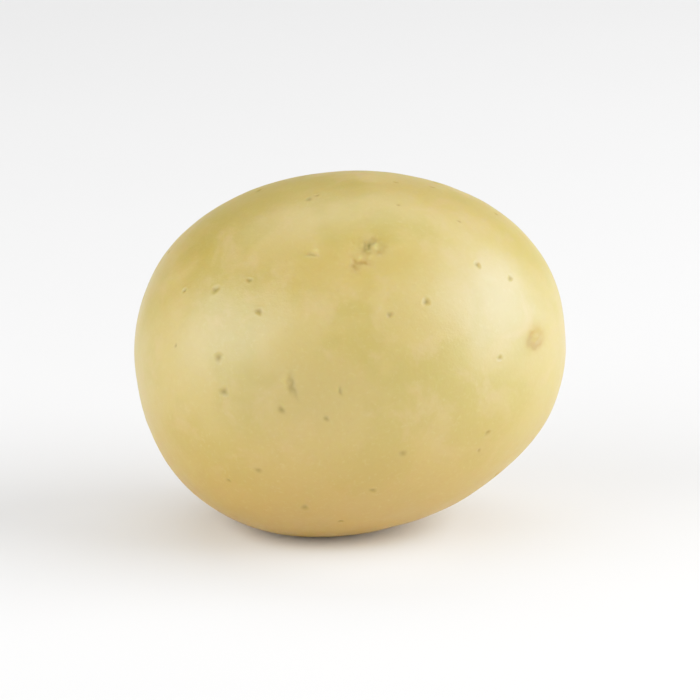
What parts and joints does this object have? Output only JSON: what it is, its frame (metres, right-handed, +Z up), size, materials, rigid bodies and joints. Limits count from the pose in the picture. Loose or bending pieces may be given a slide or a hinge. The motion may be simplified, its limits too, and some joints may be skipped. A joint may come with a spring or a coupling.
{
  "type": "potato",
  "caption": "Small oval raw potato with smooth thin skin, shallow eyes and a heel scar, lying on its side; food prop for kitchens and market displays.",
  "frame": {"origin": "on the surface that the potato lies on, under the middle of its box", "axes": "+X along the potato towards its heel end, which lies a little higher; +Z up"},
  "size_m": [0.0458, 0.0408, 0.0378],
  "materials": {
    "skin": "smooth satin skin, pale yellow, fine freckles"
  },
  "bodies": {
    "root": {"potato": "skin"}
  },
  "joints": []
}
